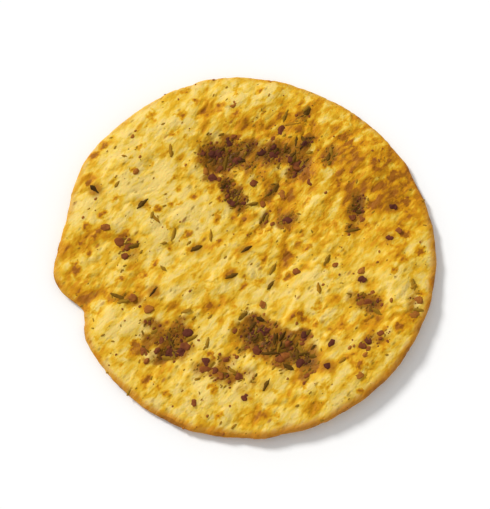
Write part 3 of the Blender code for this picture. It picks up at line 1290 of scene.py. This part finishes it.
    def crumb_tree(self) -> GrowthGraph:
        """Plans the small bubbles, flaky streaks, crumb and fine creases on the dough.

        Returns:
            The tree that raises them, and keeps their height at each point.
        """
        graph = GrowthGraph("crumb_relief", self.sizes())
        place = graph.place()
        streaks = graph.drawn_out(place, self.flaky_turn, self.flaky_stretch)
        longish = graph.drawn_out(place, self.flaky_turn, self.bubble_stretch)
        wavy = graph.shaken(place, self.crease_shake_spacing, self.crease_shake)
        bubbles = graph.cells(graph.spaced(longish, "Bubble Spacing"), 1.0)
        risen = graph.parts(bubbles.output("Color"))[1]
        dome = (1 - bubbles * bubbles * self.bubble_steepness).clamped() * risen * risen
        flaky = graph.noise(graph.spaced(streaks, "Flaky Spacing"), 1.0, 1.0, self.flaky_warp)
        crumb = graph.noise(graph.spaced(streaks, "Crumb Spacing"), 1.0, 1.0, self.crumb_warp)
        values = {"Vector": graph.spaced(wavy, "Crease Spacing"), "Scale": 1.0}
        edge = graph.add("ShaderNodeTexVoronoi", values, feature="DISTANCE_TO_EDGE")
        kept = graph.noise(place, self.crease_gap_spacing, 1.0).step(*self.crease_gaps)
        forms = {
            "Bubble": dome - self.between_bubbles,
            "Flaky": 2 * (flaky - 0.5),
            "Crumb": 2 * (crumb - 0.5),
            "Crease": edge.step(self.crease_width, 0.0) * kept,
        }
        height = sum(form * graph.given(kind + " Height") for kind, form in forms.items())
        height = height * graph.attribute("rough")
        mesh = graph.stored(graph.given("Geometry"), "crag", height, "POINT")
        normal = graph.add("GeometryNodeInputNormal")
        graph.close(graph.moved(mesh, Offset=normal.scaled(graph.attribute("crag") * MM)))
        return graph

    def sizes(self) -> dict[str, float]:
        """The named sizes of the relief."""
        heights = {layer.kind + " Height": layer.height for layer in self.relief}
        return heights | {layer.kind + " Spacing": layer.spacing for layer in self.relief}

    def build(self, places: list[FlakePlace]) -> bpy.types.Object:
        """Builds and dresses the dough.

        Args:
            places: The larger flakes, which stain the dough round them.

        Returns:
            The finished piece.
        """
        block = link_object("crust_block", self.shaped(places))
        mesh = self.crumb_tree().grow(block, self.finish.material())
        bpy.data.objects.remove(block)
        return finished_piece("crust", mesh, Slot.DOUGH)


@dataclass(frozen=True)
class BitShape:
    """How a bit of za'atar is shaped from a ball of radius 1 before it gets its size."""

    sides: int
    thickness: float = 1.0
    taper: float = 0.0
    fold: float = 0.0
    bow: float = 0.0
    ragged: float = 0.12
    ragged_spacing: float = 0.5
    below_dough: float = 0.015
    smooth: bool = True

    def ball(self, graph: GrowthGraph) -> Link:
        """Shapes the ball.

        Args:
            graph: The tree that lays the bits.

        Returns:
            The ball, flattened, tapered to both ends, folded down beside its midrib and bowed.
        """
        ball = graph.add("GeometryNodeMeshIcoSphere", {"Radius": 1.0, "Subdivisions": self.sides})
        x, y, z = graph.parts(graph.add("GeometryNodeInputPosition"))
        sideways = y * x * x * -self.taper
        folded = y.math("ABSOLUTE", y) * -self.fold + 0.5 * self.fold
        upwards = z * (self.thickness - 1) + folded - x * x * self.bow
        return graph.moved(ball, Offset=graph.joined(0.0, sideways, upwards))

    def finish(
        self, graph: GrowthGraph, points: Link, rotation: Link, size: Link, tone: Link
    ) -> None:
        """Puts a ball on each point, sinks it, and makes each one ragged in its own way.

        Args:
            graph: The tree that lays the bits, which ends here.
            points: Where they lie.
            rotation: How each is turned.
            size: The half sizes of each.
            tone: How pale each is, from 0 to 1.
        """
        values = {"Points": points, "Instance": self.ball(graph)}
        values |= {"Rotation": rotation, "Scale": size}
        bits = graph.add("GeometryNodeInstanceOnPoints", values)
        sunk = graph.joined(z=graph.given("Sunk") * -MM)
        bits = graph.add("GeometryNodeTranslateInstances", {"Instances": bits, "Translation": sunk})
        bits = graph.stored(bits, "tone", tone, "INSTANCE")
        real = graph.add("GeometryNodeRealizeInstances", {"Geometry": bits})
        shift = graph.noise(graph.place(), self.ragged_spacing, 3.0).output("Color")
        shift = shift.vector("SUBTRACT", (0.5, 0.5, 0.5))
        ragged = graph.moved(real, Offset=shift.scaled(2 * self.ragged * MM))
        x, y, z = graph.parts(graph.place())
        pressed = graph.joined(x, y, z.math("MAXIMUM", z, -self.below_dough)).scaled(MM)
        graph.close(graph.moved(ragged, Position=pressed), self.smooth)


@dataclass
class LaidFlakes:
    """The flakes of one kind that are part of the solid, each in its own place."""

    name: str
    slot: Slot
    kind: Flake
    shape: BitShape
    finish: DriedBits
    sunk: float

    def build(self, places: list[FlakePlace]) -> bpy.types.Object:
        """Builds the flakes of this kind.

        Args:
            places: Every flake of the solid.

        Returns:
            The finished piece.
        """
        mine = [place for place in places if place.kind is self.kind]
        points = bpy.data.meshes.new(self.name)
        points.from_pydata([place.position for place in mine], [], [])
        for name in ("half_sizes", "turning", "shade"):
            set_numbers(points, name, np.array([getattr(place, name) for place in mine]))
        graph = GrowthGraph(self.name + "_tree", {"Sunk": self.sunk})
        turning = graph.attribute("turning", "FLOAT_VECTOR")
        rotation = graph.add("FunctionNodeEulerToRotation", {"Euler": turning})
        size = graph.attribute("half_sizes", "FLOAT_VECTOR")
        self.shape.finish(graph, graph.given("Geometry"), rotation, size, graph.attribute("shade"))
        carrier = link_object(self.name + "_places", points)
        mesh = graph.grow(carrier, self.finish.material())
        bpy.data.objects.remove(carrier)
        return finished_piece(self.name, mesh, self.slot)


@dataclass
class StrewnBits:
    """Bits of one kind that a rule strews over the dough, thick in the patches and thin elsewhere.

    Rolling the dough has turned most of them roughly one way.
    """

    name: str
    slot: Slot
    shape: BitShape
    finish: DriedBits
    seed: int
    per_mm2: float
    apart: float
    least: Triple
    greatest: Triple
    sunk: float
    skew: float = 2.0
    lean: float = 0.25
    turn: float = 48
    spread: float = 70
    darkest_in_patches: float = 1.6
    palest_in_patches: float = 0.8
    paler_apart: float = 0.78

    def sizes(self) -> dict[str, Any]:
        """The named inputs of the tree with their values, in metres and radians.

        Returns:
            The value of each input, by name.
        """
        return {
            "Density": self.per_mm2 * PER_MM2,
            "Apart": self.apart * MM,
            "Least": tuple(size * MM for size in self.least),
            "Greatest": tuple(size * MM for size in self.greatest),
            "Skew": self.skew,
            "Lean": self.lean,
            "Turn": math.radians(self.turn),
            "Spread": math.radians(self.spread),
            "Sunk": self.sunk,
            "Seed": self.seed,
        }

    def tree(self) -> GrowthGraph:
        """Plans the strewing.

        Returns:
            The tree that strews the bits over the mesh that goes in.
        """
        graph = GrowthGraph(self.name + "_tree", self.sizes())
        values = {
            "Mesh": graph.given("Geometry"),
            "Distance Min": graph.given("Apart"),
            "Density Max": graph.given("Density"),
            "Density Factor": graph.attribute("strewn"),
            "Seed": graph.given("Seed"),
        }
        kind = "GeometryNodeDistributePointsOnFaces"
        points = graph.add(kind, values, distribute_method="POISSON")
        swing = graph.chance(-1.0, 1.0, Draw.SWING)
        turn = graph.given("Turn") + swing * swing * swing * graph.given("Spread")
        flat = graph.add("FunctionNodeEulerToRotation", {"Euler": graph.joined(z=turn)})
        aside = graph.chance((-1.0, -1.0, -1.0), (1.0, 1.0, 1.0), Draw.LEAN, "FLOAT_VECTOR")
        upright = points.output("Normal").vector("ADD", aside.scaled(graph.given("Lean")))
        values = {"Rotation": flat, "Vector": upright}
        rotation = graph.add("FunctionNodeAlignRotationToVector", values, axis="Z")
        larger = graph.chance(0.0, 1.0, Draw.SIZE)
        values = {"Factor": larger.math("POWER", larger, graph.given("Skew"))}
        values |= {"A": graph.given("Least"), "B": graph.given("Greatest")}
        size = graph.add("ShaderNodeMix", values, data_type="VECTOR")
        bare = (1 - graph.attribute("season") * self.darkest_in_patches).clamped()
        least = bare * self.paler_apart
        tone = graph.chance(0.0, self.palest_in_patches, Draw.TONE) * (1 - least) + least
        self.shape.finish(graph, points, rotation, size, tone)
        return graph

    def build(self, dough: bpy.types.Object) -> bpy.types.Object:
        """Strews the bits over the dough.

        Args:
            dough: The finished dough.

        Returns:
            The finished piece.
        """
        mesh = self.tree().grow(dough, self.finish.material())
        return finished_piece(self.name, mesh, self.slot)


# The flakes of the solid, placed by the same rule and the same draws


# A flake's kind, its x and y, and its turn
Laid = tuple[Flake, float, float, float]


@dataclass(frozen=True)
class FlakePlace:
    """Where one flake lies and how large it is, in metres and radians, and its shade of 0 to 1."""

    kind: Flake
    position: Triple
    half_sizes: Triple
    turning: Triple
    shade: float


@dataclass(frozen=True)
class FlakeSizes:
    """The ranges that the half sizes of one kind of flake are drawn from."""

    lengths: Range
    widths: Range
    half_height: float


@dataclass(frozen=True)
class Lone:
    """A flake apart from the patches: its place, its turn, and how pale it is, from 0 to 1."""

    x: float
    y: float
    turn: float
    shade: float


@dataclass(frozen=True)
class FlakeRule:
    """The rule that lays the flakes of the solid: single ones, those of the patches, and strays."""

    form: CrackerForm
    herb: FlakeSizes = FlakeSizes((0.95, 1.55), (0.38, 0.58), 0.34)
    sumac: FlakeSizes = FlakeSizes((0.62, 0.95), (0.48, 0.70), 0.42)
    herb_share: float = 0.55
    sunk: float = 0.10
    tilt: float = 12
    per_mm2: float = 0.30
    strays: int = 22
    stray_reach: float = 0.94
    seed: int = 11
    patch_shades: Range = (0.0, 0.7)
    full_depth: float = 0.40
    paler_where_thin: float = 1.8
    stray_shades: Range = (0.75, 1.0)
    lone_herb: tuple[Lone, ...] = (
        Lone(-23.0, 9.6, -45, 0.00),
        Lone(-15.8, 7.4, 45, 0.25),
        Lone(-7.4, 0.5, 25, 0.30),
        Lone(-0.1, 0.1, 35, 0.20),
        Lone(9.6, 22.8, 55, 0.25),
        Lone(13.0, 15.4, 70, 0.35),
        Lone(4.4, 9.9, 55, 0.40),
        Lone(3.2, 5.4, 70, 0.75),
        Lone(1.0, 7.6, 10, 0.65),
        Lone(6.3, 22.1, 70, 0.65),
        Lone(-11.0, 2.6, 80, 0.85),
        Lone(-13.8, -6.4, 50, 0.00),
        Lone(-2.0, -3.9, 25, 0.35),
        Lone(3.0, -20.9, 60, 0.35),
        Lone(4.0, -5.1, 50, 0.40),
        Lone(12.3, -1.5, 60, 0.70),
    )
    lone_sumac: tuple[Lone, ...] = (
        Lone(5.6, 19.6, 60, 0.45),
        Lone(10.2, 11.1, 20, 0.60),
        Lone(6.3, 4.9, 20, 0.30),
        Lone(-5.2, 11.8, 15, 0.35),
        Lone(1.3, 11.0, 40, 0.55),
        Lone(22.7, 7.1, 0, 0.10),
        Lone(22.0, 2.1, 15, 0.40),
        Lone(17.7, -4.6, 65, 0.20),
        Lone(8.7, -13.1, 50, 0.10),
        Lone(13.0, -14.4, 50, 0.20),
        Lone(12.4, -17.9, 15, 0.10),
        Lone(-6.0, -18.4, 10, 0.75),
        Lone(0.0, -22.5, 45, 0.40),
        Lone(-7.5, -23.2, 75, 0.60),
        Lone(7.8, -3.2, 35, 0.80),
    )

    def any_flake(self, x: float, y: float, draw: random.Random) -> Laid:
        """A flake of either kind at a place, turned any way."""
        kind = Flake.HERB if draw.random() < self.herb_share else Flake.SUMAC
        return kind, x, y, draw.uniform(0, FULL_TURN)

    def patch_flakes(self, draw: random.Random) -> Iterator[tuple[Laid, float]]:
        """Flakes in the patches of za'atar, as many as each patch's area asks for.

        Args:
            draw: Where the random draws come from.

        Yields:
            Each flake, with the depth of its patch.
        """
        for patch in self.form.patches:
            turned = Matrix.Rotation(math.radians(patch.turn), 2)
            for _ in range(round(math.pi * patch.half_length * patch.half_width * self.per_mm2)):
                reach, angle = math.sqrt(draw.random()), draw.uniform(0, 2 * math.pi)
                along = patch.half_length * reach * math.cos(angle)
                across = patch.half_width * reach * math.sin(angle)
                place = turned @ Vector((along, across))
                yield self.any_flake(patch.x + place.x, patch.y + place.y, draw), patch.strength

    def stray_flakes(self, draw: random.Random) -> Iterator[Laid]:
        """Single flakes that are spread over the face in a sunflower's spiral and then shaken.

        Args:
            draw: Where the random draws come from.

        Yields:
            Each flake.
        """
        gap = self.form.radius / math.sqrt(self.strays)
        for count in range(self.strays):
            reach = self.form.radius * self.stray_reach * math.sqrt((count + 0.5) / self.strays)
            angle = count * GOLDEN_ANGLE
            x = reach * math.cos(angle) + draw.uniform(-gap, gap) / 2
            y = reach * math.sin(angle) + draw.uniform(-gap, gap) / 2
            if self.form.share_of_radius(np.array([x]), np.array([y]))[0] < self.stray_reach:
                yield self.any_flake(x, y, draw)

    def all_flakes(self, draw: random.Random) -> Iterator[tuple[Laid, Range]]:
        """Every flake: the ones that lie apart, those in the patches, and the strays.

        Args:
            draw: Where the random draws come from.

        Yields:
            Each flake, with the range of its shades.
        """
        for kind, lone in ((Flake.HERB, self.lone_herb), (Flake.SUMAC, self.lone_sumac)):
            for flake in lone:
                yield (kind, flake.x, flake.y, flake.turn), (flake.shade, flake.shade)
        low, high = self.patch_shades
        for laid, strength in self.patch_flakes(draw):
            paler = self.paler_where_thin * max(0.0, self.full_depth - strength)
            yield laid, (low + paler, min(1.0, high + paler))
        for laid in self.stray_flakes(draw):
            yield laid, self.stray_shades

    def places(self) -> list[FlakePlace]:
        """Lays every flake on the upper face.

        Returns:
            Where each one lies.
        """
        draw, shade = random.Random(self.seed), random.Random(self.seed + 1)
        middle_x, middle_y = self.form.middle()
        laid = []
        for (kind, x, y, turn), shades in self.all_flakes(draw):
            sizes = self.herb if kind is Flake.HERB else self.sumac
            long, wide = draw.uniform(*sizes.lengths), draw.uniform(*sizes.widths)
            half_sizes = (long * MM, wide * MM, sizes.half_height * MM)
            tilt = Matrix.Rotation(math.radians(draw.uniform(-self.tilt, self.tilt)), 3, "Y")
            turning = (Matrix.Rotation(math.radians(turn), 3, "Z") @ tilt).to_euler()
            height = self.form.upper_face(np.array([x]), np.array([y]))[0] - self.sunk
            position = ((x - middle_x) * MM, (y - middle_y) * MM, height * MM)
            pale = shade.uniform(*shades)
            laid.append(FlakePlace(kind, position, half_sizes, tuple(turning), pale))
        return laid


# The stage


@dataclass
class Studio:
    """A pale floor, soft light from the upper left and the camera."""

    floor_side: float = 3.0
    floor_colour: Colour = srgb(250, 250, 249)
    floor_roughness: float = 0.85
    room_light: float = 0.58
    key_way: Triple = (-0.30, 0.27, 0.32)
    key_angle: float = 14
    key_strength: float = 2.45
    camera_height_angle: float = 74
    camera_distance: float = 0.235
    camera_lens: float = 108.0
    camera_nearest: float = 0.01

    def floor(self) -> None:
        """Lays the floor."""
        mesh = bmesh.new()
        bmesh.ops.create_grid(mesh, x_segments=1, y_segments=1, size=self.floor_side / 2)
        data = bpy.data.meshes.new("floor")
        mesh.to_mesh(data)
        mesh.free()
        graph = FinishGraph("pale_floor")
        graph.finish(Base_Color=self.floor_colour, Roughness=self.floor_roughness)
        data.materials.append(graph.material)
        link_object("floor", data)

    def lights(self) -> None:
        """Sets the room's even light and the key light."""
        scene = bpy.context.scene
        scene.world = bpy.data.worlds.new("room")
        scene.world.use_nodes = True
        room = scene.world.node_tree.nodes["Background"]
        room.inputs["Color"].default_value = (1.0, 1.0, 1.0, 1.0)
        room.inputs["Strength"].default_value = self.room_light
        scene.view_settings.view_transform = "Standard"
        key = bpy.data.lights.new("key", "SUN")
        key.angle = math.radians(self.key_angle)
        key.energy = self.key_strength
        lamp = bpy.data.objects.new("key", key)
        lamp.location = self.key_way
        lamp.rotation_euler = (-Vector(self.key_way)).to_track_quat("-Z", "Y").to_euler()
        scene.collection.objects.link(lamp)

    def camera(self) -> None:
        """Sets the camera, which looks down on the cracker from its near side."""
        data = bpy.data.cameras.new("camera")
        data.lens = self.camera_lens
        data.clip_start = self.camera_nearest
        camera = bpy.data.objects.new("camera", data)
        angle = math.radians(self.camera_height_angle)
        camera.location = Vector((0.0, -math.cos(angle), math.sin(angle))) * self.camera_distance
        camera.rotation_euler = Euler((math.pi / 2 - angle, 0.0, 0.0))
        bpy.context.scene.collection.objects.link(camera)
        bpy.context.scene.camera = camera

    def build(self) -> None:
        """Builds the whole stage."""
        self.floor()
        self.lights()
        self.camera()
        LOG.info("stage: floor, key light and camera")


LEAF = BitShape(3, thickness=0.42, taper=0.5, fold=0.9, bow=0.35, ragged=0.20)
LUMP = BitShape(3, thickness=0.60, ragged=0.42, ragged_spacing=0.80)
SCRAP = BitShape(2, thickness=0.6, fold=0.5, bow=0.3, ragged=0.14, ragged_spacing=0.4, smooth=False)
SHRED = BitShape(1, thickness=0.7, bow=0.3, ragged=0.07, ragged_spacing=0.4, smooth=False)
GRIT = BitShape(1, thickness=0.8, ragged=0.10, ragged_spacing=0.4, smooth=False)


def strewn_kinds(herb: DriedBits, sumac: DriedBits) -> tuple[StrewnBits, ...]:
    """The bits that are too fine for the solid.

    Args:
        herb: The finish of dried herb.
        sumac: The finish of ground sumac.

    Returns:
        The kinds, from the largest to the finest.
    """
    return (
        StrewnBits(
            "herb_bits",
            Slot.HERBS,
            SCRAP,
            herb,
            seed=31,
            per_mm2=0.55,
            apart=0.6,
            least=(0.35, 0.16, 0.14),
            greatest=(0.95, 0.34, 0.22),
            sunk=0.05,
        ),
        StrewnBits(
            "sumac_bits",
            Slot.SUMAC,
            SCRAP,
            sumac,
            seed=32,
            per_mm2=0.45,
            apart=0.6,
            least=(0.28, 0.22, 0.16),
            greatest=(0.62, 0.46, 0.30),
            sunk=0.06,
        ),
        StrewnBits(
            "herb_crumbs",
            Slot.HERBS,
            SHRED,
            herb,
            seed=33,
            per_mm2=7.0,
            apart=0.20,
            least=(0.12, 0.07, 0.06),
            greatest=(0.50, 0.19, 0.14),
            sunk=0.04,
        ),
        StrewnBits(
            "sumac_crumbs",
            Slot.SUMAC,
            GRIT,
            sumac,
            seed=34,
            per_mm2=3.0,
            apart=0.28,
            least=(0.10, 0.09, 0.08),
            greatest=(0.36, 0.26, 0.20),
            sunk=0.05,
        ),
    )


def main() -> None:
    """Builds the cracker piece by piece, and the stage round it."""
    logging.basicConfig(level=logging.INFO, format="%(name)s: %(message)s")
    form = CrackerForm()
    places = FlakeRule(form).places()
    crust = Crust(form).build(places)
    herb, sumac = DriedBits("dried_herb", HERB_TONES), DriedBits("ground_sumac", SUMAC_TONES)
    LaidFlakes("herb_flakes", Slot.HERBS, Flake.HERB, LEAF, herb, sunk=0.10).build(places)
    LaidFlakes("sumac_grains", Slot.SUMAC, Flake.SUMAC, LUMP, sumac, sunk=0.18).build(places)
    for kind in strewn_kinds(herb, sumac):
        kind.build(crust)
    Studio().build()


if __name__ == "__main__":
    main()
